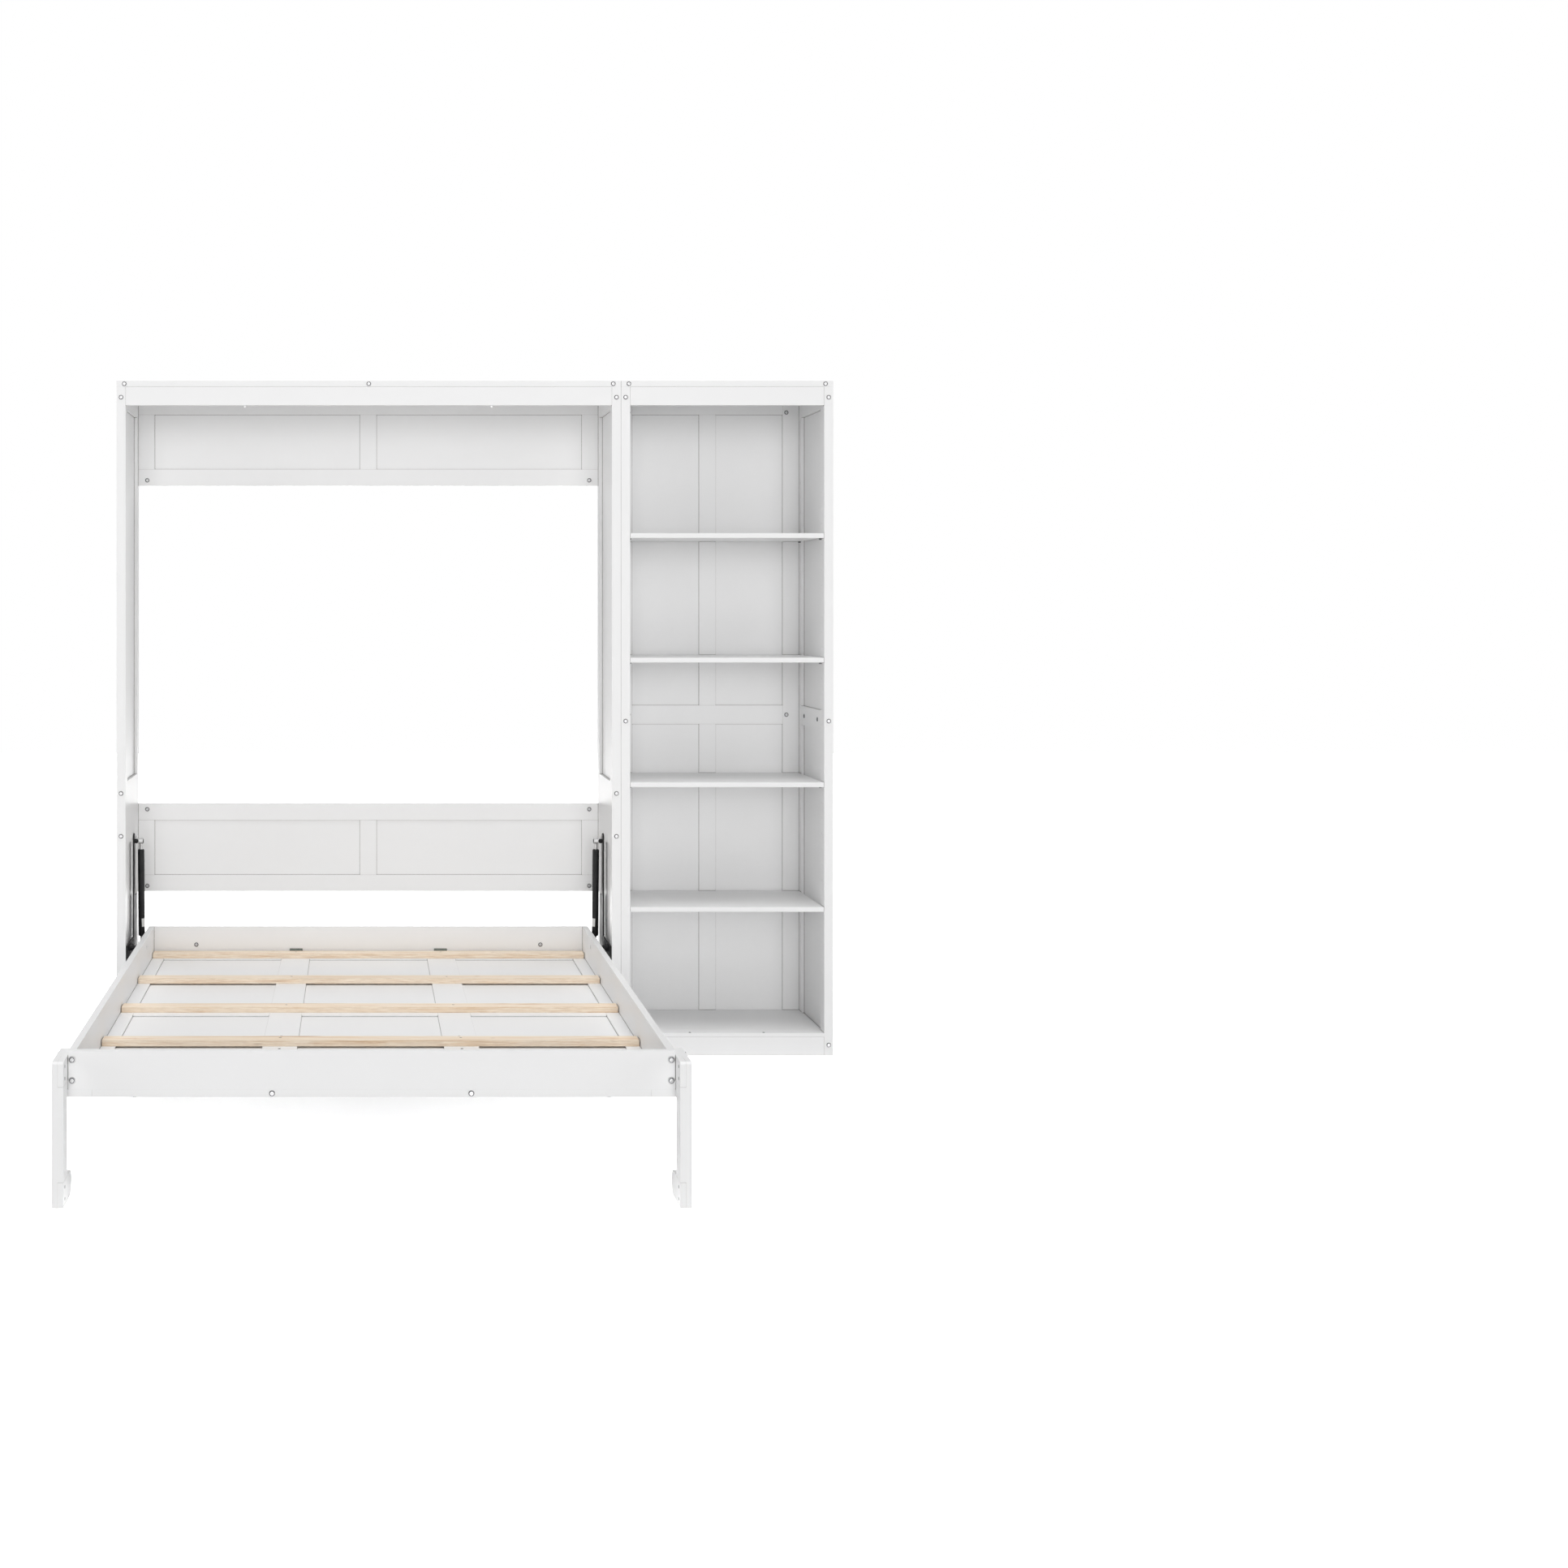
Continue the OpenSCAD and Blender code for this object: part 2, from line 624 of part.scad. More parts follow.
// ---- Bed: a door of frame and panels under a box of rails ----
door_cols = [for (k = [0 : 2])
  [-door_w / 2 + door_member_w + k * (stile_gap + door_member_w),
   -door_w / 2 + (k + 1) * (stile_gap + door_member_w)]];
door_rows = [
  [door_head_w, door_mid - door_member_w / 2],
  [door_mid + door_member_w / 2, box_l - door_member_w],
];
door_members = concat(
  [[-door_w / 2, 0, door_cols[0][0], box_l], [door_cols[2][1], 0, door_w / 2, box_l]],
  [for (v = [[0, door_head_w], [box_l - door_member_w, box_l]])
    [door_cols[0][0] + joint_line, v[0], door_cols[2][1] - joint_line, v[1]]],
  [for (k = [0, 1])
    [door_cols[k][1], door_head_w + joint_line, door_cols[k + 1][0],
     box_l - door_member_w - joint_line]],
  [for (c = door_cols)
    [c[0] + joint_line, door_rows[0][1], c[1] - joint_line, door_rows[1][0]]]
);
door_openings = [for (c = door_cols) for (r = door_rows) [c[0], r[0], c[1], r[1]]];
door_bolt_first = 179;
door_bolt_last = 131;
door_bolt_v = [for (k = [0 : 3])
  door_bolt_first + k * (box_l - door_bolt_first - door_bolt_last) / 3];
end_bolt_inset = 156;
end_bolt_x = box_w / 2 - end_bolt_inset;
module door_bolts() {
  for (v = door_bolt_v)
    both_sides() translate([rail_mid, head_y - v, door_z]) facing_down() children();
  for (v = [board_t / 2, box_l - board_t / 2])
    both_sides() translate([end_bolt_x, head_y - v, door_z]) facing_down() children();
}
module foot_edge_bolts() {
  both_sides() translate([inner_stile_x, foot_y, door_z + door_t / 2]) facing_room() children();
}
foot_bolt_inset = 21.5;
foot_bolt_z = [box_z + foot_bolt_inset, box_top - foot_bolt_inset];
module foot_face_bolts() {
  for (z = foot_bolt_z)
    both_sides() translate([rail_mid, foot_y, z]) facing_room() children();
}
head_bolt_rise = 34;
module head_face_bolts() {
  both_sides() translate([end_bolt_x, head_y - board_t, box_z + head_bolt_rise])
    facing_room() children();
}
module slat_fixings() {
  for (k = [0 : slat_count - 1])
    both_sides() translate([
      inner_stile_x, head_y - slat_first - slat_screw_back - k * slat_pitch, box_z + slat_t
    ]) children();
}
// The screws of the handles pass down through the door into the handles' posts.
handle_y = head_y - handle_from_head;
module handle_fixings() {
  for (dy = [-handle_post_gap / 2, handle_post_gap / 2])
    both_sides() translate([inner_stile_x, handle_y + dy, box_z]) children();
}
module door_frame() color(WHITE) difference() {
  as_door() frame_of(door_members, door_openings, door_t);
  door_bolts() bolt_hole();
  foot_edge_bolts() bolt_hole();
  slat_fixings() screw_hole(slat_t + screw_l);
  handle_fixings() screw_hole(door_t + handle_screw_l);
}
module door_panels() color(WHITE) as_door() panels(door_openings, door_t, 0);
module head_rail() color(WHITE) difference() {
  translate([-box_w / 2, head_y - board_t, box_z]) cube([box_w, board_t, box_rail_h]);
  door_bolts() bolt_hole();
  head_face_bolts() bolt_hole(back_bolt_l);
}
module foot_rail() color(WHITE) difference() {
  translate([-box_w / 2, foot_y, box_z]) cube([box_w, board_t, box_rail_h]);
  door_bolts() bolt_hole();
  foot_face_bolts() bolt_hole();
}
bracket_clear = 1;
module side_rail_right() color(WHITE) difference() {
  translate([box_w / 2 - board_t, foot_y + board_t, box_z])
    cube([board_t, box_l - 2 * board_t, box_rail_h]);
  door_bolts() bolt_hole();
  foot_face_bolts() bolt_hole();
  pin_along_x(box_w / 2 - board_t - 1, box_w / 2 + 1, pivot_y, pivot_z, pivot_r + bracket_clear);
  leg_bolt_hole();
  bracket_screws() screw_hole();
}
module slats() color(PINE) difference() {
  for (k = [0 : slat_count - 1])
    translate([
      -box_w / 2 + board_t + slat_end_gap,
      head_y - slat_first - slat_w - k * slat_pitch, box_z
    ]) cube([box_w - 2 * board_t - 2 * slat_end_gap, slat_w, slat_t]);
  slat_fixings() sunk_hole(slat_t + screw_l);
}
module slat_screws() color(ZINC) slat_fixings() sunk_screw(slat_t + screw_l - 2);
washer_r = 8;
washer_t = 1;
module bed_bolts() color(ZINC) {
  door_bolts() bolt();
  foot_edge_bolts() bolt();
  foot_face_bolts() {
    translate([0, 0, washer_t]) bolt(bolt_l + washer_t);
    difference() {
      cylinder(h = washer_t, r = washer_r, $fn = 24);
      translate([0, 0, -1]) cylinder(h = washer_t + 2, r = bolt_r, $fn = 24);
    }
  }
  head_face_bolts() bolt(back_bolt_l);
  handle_fixings() screw(door_t + handle_screw_l - 1);
  both_sides() bracket_screws() translate([0, 0, bracket_t]) screw();
}
// Two angle brackets tie the head rail to the door, in front of the first slat.
angle_w = 41;
angle_rise = 21;
angle_gap = 1;
angle_foot = slat_first - board_t - angle_gap;
angle_t = 2;
module head_brackets() color(ZINC)
  both_sides() translate([inner_stile_x - angle_w / 2, head_y - board_t, box_z])
    rotate([90, 0, 90]) linear_extrude(height = angle_w)
      polygon([
        [0, 0], [-angle_foot, 0], [-angle_foot, angle_t], [-angle_t, angle_t],
        [-angle_t, angle_rise], [0, angle_rise]
      ]);

// ---- Handles: a bar on two posts ----
bar_z = door_z - handle_reach + handle_r;
module handle_right() color(NICKEL) difference() {
  union() {
    translate([inner_stile_x, handle_y - handle_l / 2, bar_z]) rotate([-90, 0, 0])
      cylinder(h = handle_l, r = handle_r, $fn = 32);
    for (dy = [-handle_post_gap / 2, handle_post_gap / 2])
      translate([inner_stile_x, handle_y + dy, bar_z])
        cylinder(h = door_z - bar_z, r = handle_post_r, $fn = 24);
  }
  handle_fixings() screw_hole(door_t + handle_screw_l);
}

// ---- Bed brackets: a steel strip from the hinge pin to the strut's lower end ----
bracket_pivot_r = 26;
bracket_foot_r = 22;
module bracket_outline() {
  translate([pivot_y, pivot_z]) circle(r = bracket_pivot_r, $fn = 48);
  translate([strut_foot_y, strut_foot_z]) circle(r = bracket_foot_r, $fn = 48);
  polygon([
    [pivot_y, pivot_z - bracket_pivot_r], [strut_foot_y, strut_foot_z - bracket_foot_r],
    [strut_foot_y, strut_foot_z + bracket_foot_r], [pivot_y, pivot_z + bracket_pivot_r]
  ]);
}
module bracket_screws() {
  for (f = [0.25, 0.5, 0.75])
    translate([
      box_w / 2, pivot_y + f * (strut_foot_y - pivot_y), pivot_z + f * (strut_foot_z - pivot_z)
    ]) rotate([0, 90, 0]) children();
}
// A boss on the bracket stands 1 mm short of the strut's lower eye.
boss_gap = 1;
module bed_bracket_right() color(BLACK) difference() {
  union() {
    across(box_w / 2, bracket_t) bracket_outline();
    pin_along_x(box_w / 2 + bracket_t - 1, eye_x0 - boss_gap, strut_foot_y, strut_foot_z,
      stud_collar_r);
  }
  pin_along_x(box_w / 2 - 1, box_w / 2 + bracket_t + 1, pivot_y, pivot_z, pivot_r + pin_play);
  bracket_screws() cylinder(h = bracket_t * 3, r = screw_r + bolt_play, center = true, $fn = 20);
}

// ---- Legs: a C of three boards lapped together, turning on a bolt in the side rail ----
leg_x0 = box_w / 2 + leg_gap;
leg_lap = leg_t / 2;
leg_arm_z = leg_h - leg_arm_h;
module leg_bolt_hole() {
  pin_along_x(box_w / 2 - board_t - 1, box_w / 2 + 1, leg_pin_y, leg_pin_z, leg_pin_r + pin_play);
}
nut_t = 4;
module leg_pivot_bolts() color(ZINC) both_sides() {
  pin_along_x(box_w / 2 - board_t - 1, leg_x0 + leg_t + 1, leg_pin_y, leg_pin_z, leg_pin_r);
  pin_along_x(box_w / 2 - board_t - 3, box_w / 2 - board_t, leg_pin_y, leg_pin_z, leg_head_r);
  translate([leg_x0 + leg_t + 0.3, leg_pin_y, leg_pin_z]) rotate([0, 90, 0])
    cylinder(h = nut_t, r = leg_head_r, $fn = 6);
}
module leg_slice(x0, t) across(x0, t) children();
module post_outline() difference() {
  translate([leg_front_y, 0]) square([leg_w, leg_h]);
  difference() {
    translate([leg_front_y - 1, leg_h - leg_corner_r]) square(leg_corner_r + 1);
    translate([leg_front_y + leg_corner_r, leg_h - leg_corner_r]) circle(r = leg_corner_r, $fn = 48);
  }
}
module arm_outline() difference() {
  translate([leg_front_y, leg_arm_z])
    square([leg_pin_y + leg_arm_tail - leg_front_y, leg_arm_h]);
  difference() {
    translate([leg_front_y - 1, leg_h - leg_corner_r]) square(leg_corner_r + 1);
    translate([leg_front_y + leg_corner_r, leg_h - leg_corner_r]) circle(r = leg_corner_r, $fn = 48);
  }
}
foot_back_y = leg_front_y + leg_foot_l;
module foot_outline() {
  translate([leg_front_y, 0]) square([leg_foot_l - foot_corner_r, leg_arm_h]);
  translate([foot_back_y - foot_corner_r, foot_corner_r])
    square([foot_corner_r, leg_arm_h - 2 * foot_corner_r]);
  for (z = [foot_corner_r, leg_arm_h - foot_corner_r])
    translate([foot_back_y - foot_corner_r, z]) circle(r = foot_corner_r, $fn = 64);
}
module lap_screws() {
  for (z = [leg_arm_h / 2, leg_arm_z + leg_arm_h / 2])
    for (dz = [-lap_screw_gap / 2, lap_screw_gap / 2])
      translate([leg_x0, leg_front_y + lap_screw_in, z + dz]) rotate([0, -90, 0]) children();
}
lap_screw = leg_lap + lap_screw_l;
// The upright is full thickness between the laps and half thickness, on the outside, at them.
module leg_post_right() color(WHITE) difference() {
  leg_slice(leg_x0, leg_t) post_outline();
  translate([leg_x0 - 1, leg_front_y - 1, -1]) cube([leg_lap + 1, leg_w + 2, leg_arm_h + 1 + joint_line]);
  translate([leg_x0 - 1, leg_front_y - 1, leg_arm_z - joint_line])
    cube([leg_lap + 1, leg_w + 2, leg_arm_h + 2]);
  lap_screws() screw_hole(lap_screw);
}
module leg_arm_right() color(WHITE) difference() {
  leg_slice(leg_x0, leg_t) arm_outline();
  translate([leg_x0 + leg_lap, leg_front_y - 1, leg_arm_z - 1])
    cube([leg_lap + 1, leg_w + 1 + joint_line, leg_arm_h + 2]);
  pin_along_x(leg_x0 - 1, leg_x0 + leg_t + 1, leg_pin_y, leg_pin_z, leg_pin_r + pin_play);
  lap_screws() screw_hole(lap_screw);
}
module leg_foot_right() color(WHITE) difference() {
  leg_slice(leg_x0, leg_t) foot_outline();
  translate([leg_x0 + leg_lap, leg_front_y - 1, -1])
    cube([leg_lap + 1, leg_w + 1 + joint_line, leg_arm_h + 2]);
  lap_screws() screw_hole(lap_screw);
}
leg_head_sink = 0.4;
module leg_screws_right() color(ZINC) lap_screws()
  difference() {
    screw(lap_screw - 1);
    translate([0, 0, leg_head_sink]) cylinder(h = screw_head_h, r = 2 * screw_head_r, $fn = 16);
  }

// ---- Gas struts: drawn down from the upper stud, then tilted to meet the lower end ----
module along_strut() translate([eye_mid, stud_y, stud_z]) rotate([180 + strut_tilt, 0, 0]) children();
module eye(bore_r) rotate([0, 90, 0]) difference() {
  cylinder(h = eye_w, r = eye_r, center = true, $fn = axle_fn);
  if (bore_r > 0) cylinder(h = eye_w + 2, r = bore_r, center = true, $fn = axle_fn);
}
tube_in_r = tube_r - tube_wall;
tube_end = tube_top + tube_l;
module strut_tube_right() color(BLACK) along_strut() {
  difference() {
    union() {
      cylinder(h = tube_top + 1, r = rod_r, $fn = 32);
      rotate_extrude($fn = axle_fn)
        polygon([
          [0, tube_top], [tube_r - 2, tube_top], [tube_r, tube_top + 2], [tube_r, tube_end - 2],
          [tube_r - 2, tube_end], [rod_r + pin_play, tube_end], [rod_r + pin_play, tube_end - gland],
          [tube_in_r, tube_end - gland], [tube_in_r, tube_top + end_cap], [0, tube_top + end_cap]
        ]);
    }
    rotate([0, 90, 0]) cylinder(h = eye_w + 2, r = eye_r - 1, center = true, $fn = axle_fn);
  }
  eye(stud_r + pin_play);
}
module strut_rod_right() color(ZINC) along_strut() {
  translate([0, 0, tube_top + end_cap + 2]) cylinder(h = piston_l, r = tube_in_r - pin_play, $fn = 48);
  translate([0, 0, tube_top + end_cap + 2 + piston_l / 2])
    cylinder(h = strut_l - tube_top - end_cap - 2 - piston_l / 2, r = rod_r, $fn = 48);
  translate([0, 0, strut_l]) eye(0);
}

placed() mirrored() cabinet_side_frame_right();  // cabinet_side_frame_left
placed() cabinet_side_frame_right();
placed() mirrored() cabinet_side_panels_right();  // cabinet_side_panels_left
placed() cabinet_side_panels_right();
placed() cabinet_top_board();
placed() cabinet_fascia();
placed() cabinet_base_rail();
placed() upper_back_frame();
placed() upper_back_panels();
placed() lower_back_frame();
placed() lower_back_panels();
placed() cabinet_bolts();
placed() back_panel_bolts();
placed() mirrored() hinge_plate_right();  // hinge_plate_left
placed() hinge_plate_right();
placed() hinge_plate_screws();
placed() tower_side_frame(tower_in0, tower_in0);  // tower_side_frame_left
placed() tower_side_frame(tower_x1, tower_in1);  // tower_side_frame_right
placed() tower_side_panels(tower_in0);  // tower_side_panels_left
placed() tower_side_panels(tower_x1);  // tower_side_panels_right
placed() tower_top_board();
placed() tower_rail(post_h - fascia_h, fascia_h);  // tower_fascia
placed() tower_rail(0, base_h);  // tower_base_rail
placed() tower_bottom_board();
placed() tower_back_frame();
placed() tower_back_panels();
placed() shelf(1);  // shelf_1
placed() shelf(2);  // shelf_2
placed() shelf(3);  // shelf_3
placed() shelf(4);  // shelf_4
placed() shelf_pins();
placed() tower_bolts();
placed() door_frame();
placed() door_panels();
placed() head_rail();
placed() foot_rail();
placed() mirrored() side_rail_right();  // side_rail_left
placed() side_rail_right();
placed() slats();
placed() slat_screws();
placed() mirrored() handle_right();  // handle_left
placed() handle_right();
placed() bed_bolts();
placed() head_brackets();
placed() mirrored() bed_bracket_right();  // bed_bracket_left
placed() bed_bracket_right();
placed() leg_pivot_bolts();
placed() mirrored() leg_post_right();  // leg_post_left
placed() mirrored() leg_arm_right();  // leg_arm_left
placed() mirrored() leg_foot_right();  // leg_foot_left
placed() mirrored() leg_screws_right();  // leg_screws_left
placed() leg_post_right();
placed() leg_arm_right();
placed() leg_foot_right();
placed() leg_screws_right();
placed() mirrored() strut_tube_right();  // strut_tube_left
placed() strut_tube_right();
placed() mirrored() strut_rod_right();  // strut_rod_left
placed() strut_rod_right();
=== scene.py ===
"""Looks of the wall bed: materials, eased board edges, small hardware, light and camera."""
import json
import math

import bmesh
import bpy
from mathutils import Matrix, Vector


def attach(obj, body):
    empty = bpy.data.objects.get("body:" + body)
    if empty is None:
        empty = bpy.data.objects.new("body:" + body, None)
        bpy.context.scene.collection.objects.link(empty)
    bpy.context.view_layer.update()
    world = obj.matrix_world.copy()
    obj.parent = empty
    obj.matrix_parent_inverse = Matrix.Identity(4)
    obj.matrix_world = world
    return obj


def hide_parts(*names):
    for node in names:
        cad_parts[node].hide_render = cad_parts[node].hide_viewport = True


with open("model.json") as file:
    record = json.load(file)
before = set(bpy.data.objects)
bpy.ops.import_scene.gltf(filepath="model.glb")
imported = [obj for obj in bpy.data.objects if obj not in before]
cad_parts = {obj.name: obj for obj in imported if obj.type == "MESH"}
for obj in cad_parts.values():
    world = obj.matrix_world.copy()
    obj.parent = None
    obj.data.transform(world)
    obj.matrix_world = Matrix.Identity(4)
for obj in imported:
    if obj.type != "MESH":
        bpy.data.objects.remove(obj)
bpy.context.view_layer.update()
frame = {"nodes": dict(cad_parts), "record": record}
NODES = frame["nodes"]
BODY_OF = {
    node: body
    for body, members in frame["record"]["behaviour"]["bodies"].items()
    for node in members
}
SLOT_OF = {row["node"]: row["material_slot"] for row in frame["record"]["subparts"]}
MM = 0.001


# ---------------------------------------------------------------- node helpers
CREVICE_SHUT, CREVICE_OPEN = 0.45, 0.92
CLOUD_LOW, CLOUD_HIGH = 0.3, 0.7
MIX_FACTOR, MIX_A, MIX_B = 0, 6, 7
MIX_COLOR = 2


class Graph:
    """A material's node tree, with short calls for the nodes used here."""

    def __init__(self, name):
        self.material = bpy.data.materials.new(name)
        self.material.use_nodes = True
        self.tree = self.material.node_tree
        self.tree.nodes.clear()
        self.shader = self.add("ShaderNodeBsdfPrincipled")
        output = self.add("ShaderNodeOutputMaterial")
        self.link(self.shader.outputs[0], output.inputs[0])

    def add(self, kind, **values):
        node = self.tree.nodes.new(kind)
        for key, value in values.items():
            setattr(node, key, value)
        return node

    def link(self, source, target):
        self.tree.links.new(source, target)

    def coords(self, scale=(1, 1, 1), offset=(0, 0, 0)):
        texture = self.add("ShaderNodeTexCoord")
        mapping = self.add("ShaderNodeMapping")
        mapping.inputs["Scale"].default_value = scale
        mapping.inputs["Location"].default_value = offset
        self.link(texture.outputs["Object"], mapping.inputs["Vector"])
        return mapping.outputs[0]

    def noise(self, vector, scale, detail=3.0, roughness=0.5, distortion=0.0):
        node = self.add("ShaderNodeTexNoise")
        node.inputs["Scale"].default_value = scale
        node.inputs["Detail"].default_value = detail
        node.inputs["Roughness"].default_value = roughness
        node.inputs["Distortion"].default_value = distortion
        self.link(vector, node.inputs["Vector"])
        return node.outputs["Fac"]

    def ramp(self, factor, stops):
        node = self.add("ShaderNodeValToRGB")
        elements = node.color_ramp.elements
        while len(elements) < len(stops):
            elements.new(0.5)
        for element, (place, color) in zip(elements, stops):
            element.position = place
            element.color = (*color, 1)
        self.link(factor, node.inputs["Fac"])
        return node.outputs["Color"]

    def span(self, factor, low, high, from_low=0.0, from_high=1.0):
        node = self.add("ShaderNodeMapRange")
        node.inputs["From Min"].default_value = from_low
        node.inputs["From Max"].default_value = from_high
        node.inputs["To Min"].default_value = low
        node.inputs["To Max"].default_value = high
        self.link(factor, node.inputs["Value"])
        return node.outputs["Result"]

    def mix(self, factor, a, b):
        node = self.add("ShaderNodeMix", data_type="RGBA")
        for value, socket in ((factor, MIX_FACTOR), (a, MIX_A), (b, MIX_B)):
            if isinstance(value, bpy.types.NodeSocket):
                self.link(value, node.inputs[socket])
            elif socket == MIX_FACTOR:
                node.inputs[socket].default_value = value
            else:
                node.inputs[socket].default_value = (*value, 1)
        return node.outputs[MIX_COLOR]

    def math(self, operation, a, b=0.0):
        node = self.add("ShaderNodeMath", operation=operation)
        for index, value in enumerate((a, b)):
            if isinstance(value, bpy.types.NodeSocket):
                self.link(value, node.inputs[index])
            else:
                node.inputs[index].default_value = value
        return node.outputs[0]

    def crevice(self, reach):
        """Mask for painted shade: 1 in a joint or an inner corner narrower than reach, 0 on an
        open face.
        """
        node = self.add("ShaderNodeAmbientOcclusion", samples=8)
        node.inputs["Distance"].default_value = reach
        return self.span(node.outputs["AO"], 1.0, 0.0, CREVICE_SHUT, CREVICE_OPEN)

    def cloudy(self, scale, detail, low, high):
        """Patches of two tones, and the noise that they follow."""
        cloud = self.noise(self.coords(), scale, detail)
        return cloud, self.ramp(cloud, [(CLOUD_LOW, low), (CLOUD_HIGH, high)])

    def rough(self, factor, low, high):
        """Roughness that follows a noise between two values."""
        self.put("Roughness", self.span(factor, low, high, CLOUD_LOW, CLOUD_HIGH))

    def bump(self, height, strength, distance):
        node = self.add("ShaderNodeBump")
        node.inputs["Strength"].default_value = strength
        node.inputs["Distance"].default_value = distance
        self.link(height, node.inputs["Height"])
        self.link(node.outputs[0], self.shader.inputs["Normal"])

    def color(self, value):
        self.put("Base Color", value)

    def put(self, socket, value):
        target = self.shader.inputs[socket]
        if isinstance(value, bpy.types.NodeSocket):
            self.link(value, target)
        elif isinstance(value, (tuple, list)):
            target.default_value = (*value, 1)
        else:
            target.default_value = value


# ---------------------------------------------------------------- materials
PAINT_LIGHT = (0.914, 0.914, 0.915)
PAINT_DARK = (0.902, 0.902, 0.903)
PAINT_IOR = 1.48
PAINT_GLOSS = 0.35
# Colour of the painted shade that the paint takes on in joints and inner corners.
JOINT_SHADE = (0.22, 0.20, 0.18)
JOINT_REACH = 3.0 * MM
FINE_RELIEF = 0.2 * MM
LONG = {"X": (1, 14, 14), "Y": (14, 1, 14), "Z": (14, 14, 1)}


def white_paint(axis):
    """Satin white paint over wood, with painted shade in its joints and inner corners; the faint
    grain under it runs along axis.
    """
    g = Graph(f"white_paint_{axis.lower()}")
    grain = g.noise(g.coords(LONG[axis]), 9.0, 5.0, 0.6)
    _, paint = g.cloudy(3.0, 2.0, PAINT_DARK, PAINT_LIGHT)
    skin = g.noise(g.coords(), 900.0, 2.0)
    # Painted shade: the paint darkens towards JOINT_SHADE where ambient occlusion finds a joint
    # or an inner corner.
    g.color(g.mix(g.crevice(JOINT_REACH), paint, JOINT_SHADE))
    g.rough(grain, 0.34, 0.44)
    g.put("IOR", PAINT_IOR)
    g.put("Specular IOR Level", PAINT_GLOSS)
    height = g.math("ADD", g.math("MULTIPLY", grain, 0.6), g.math("MULTIPLY", skin, 0.25))
    g.bump(height, 0.04, FINE_RELIEF)
    return g.material


SLAT_EARLY = (0.90, 0.73, 0.55)
SLAT_LATE = (0.68, 0.46, 0.28)
SLAT_PALE = (0.96, 0.84, 0.69)
PLY_LINE = (0.42, 0.23, 0.11)
KNOT = (0.34, 0.19, 0.10)
PLY_COUNT = 7
SLAT_THICK = 15.5 * MM
WOOD_RELIEF = 0.6 * MM


def laminated_pine():
    """Pale laminated softwood: long figure on the faces, thin layers on the edges."""
    g = Graph("laminated_pine")
    figure = g.noise(g.coords((1.0, 16.0, 30.0)), 3.2, 6.0, 0.62, 0.9)
    fine = g.noise(g.coords((2.0, 90.0, 90.0)), 6.0, 4.0, 0.6)
    rings = [(0.32, SLAT_LATE), (0.42, SLAT_EARLY), (0.52, SLAT_PALE), (0.74, SLAT_EARLY)]
    body = g.ramp(figure, rings)
    streaked = g.mix(g.span(fine, 0.0, 0.55, 0.48, 0.78), body, SLAT_LATE)
    texture = g.add("ShaderNodeTexCoord")
    split = g.add("ShaderNodeSeparateXYZ")
    g.link(texture.outputs["Object"], split.inputs[0])
    waves = 2 * math.pi * PLY_COUNT / SLAT_THICK
    plies = g.math("SINE", g.math("MULTIPLY", split.outputs["Z"], waves))
    normal = g.add("ShaderNodeSeparateXYZ")
    g.link(texture.outputs["Normal"], normal.inputs[0])
    upright = g.math("SUBTRACT", 1.0, g.math("ABSOLUTE", normal.outputs["Z"]))
    edge = g.math("MULTIPLY", g.span(plies, 0.0, 0.55, -0.2, 1.0), upright)
    patches = g.noise(g.coords((6.0, 1.0, 60.0)), 5.0, 3.0)
    patchy = g.math("MULTIPLY", edge, g.span(patches, 0.0, 1.0, 0.38, 0.62))
    knots = g.noise(g.coords((5.0, 18.0, 60.0), (0.3, 0.1, 0)), 2.6, 2.0, 0.5, 0.3)
    colored = g.mix(patchy, streaked, PLY_LINE)
    g.color(g.mix(g.span(knots, 0.0, 0.75, 0.70, 0.80), colored, KNOT))
    g.rough(figure, 0.50, 0.62)
    g.bump(g.math("ADD", g.math("MULTIPLY", fine, 0.5), figure), 0.25, WOOD_RELIEF)
    return g.material


BLACK_DEEP = (0.010, 0.010, 0.011)
BLACK_WORN = (0.020, 0.020, 0.021)
BLACK_GLOSS = 0.25
BRIGHT_STEEL = (0.52, 0.52, 0.52)
LABEL_WHITE = (0.74, 0.74, 0.73)
LABEL_START, LABEL_END = 252 * MM, 279 * MM
LABEL_WRAP = -4 * MM
STEEL_END = 26.5 * MM


def enamel(g):
    """Lays satin black paint on a material and returns its colour."""
    cloud, black = g.cloudy(30.0, 3.0, BLACK_DEEP, BLACK_WORN)
    g.rough(cloud, 0.48, 0.60)
    g.put("Specular IOR Level", BLACK_GLOSS)
    g.bump(g.noise(g.coords(), 700.0, 3.0), 0.12, FINE_RELIEF)
    return black


def black_enamel():
    """Satin black paint on steel."""
    g = Graph("black_enamel")
    g.color(enamel(g))
    return g.material


def strut_finish(name, stud, direction, side):
    """A black tube with a blank white label near its lower end and a steel end at its top."""
    g = Graph(name)
    texture = g.add("ShaderNodeTexCoord")
    place = g.add("ShaderNodeVectorMath", operation="SUBTRACT")
    g.link(texture.outputs["Object"], place.inputs[0])
    place.inputs[1].default_value = stud

    def reach(way):
        node = g.add("ShaderNodeVectorMath", operation="DOT_PRODUCT")
        g.link(place.outputs[0], node.inputs[0])
        node.inputs[1].default_value = way
        return node.outputs["Value"]

    along = reach(direction)
    label = g.math("MULTIPLY", g.math("GREATER_THAN", along, LABEL_START),
                   g.math("LESS_THAN", along, LABEL_END))
    label = g.math("MULTIPLY", label, g.math("GREATER_THAN", reach(side), LABEL_WRAP))
    steel = g.math("LESS_THAN", along, STEEL_END)
    g.color(g.mix(steel, g.mix(label, enamel(g), LABEL_WHITE), BRIGHT_STEEL))
    g.put("Metallic", steel)
    return g.material


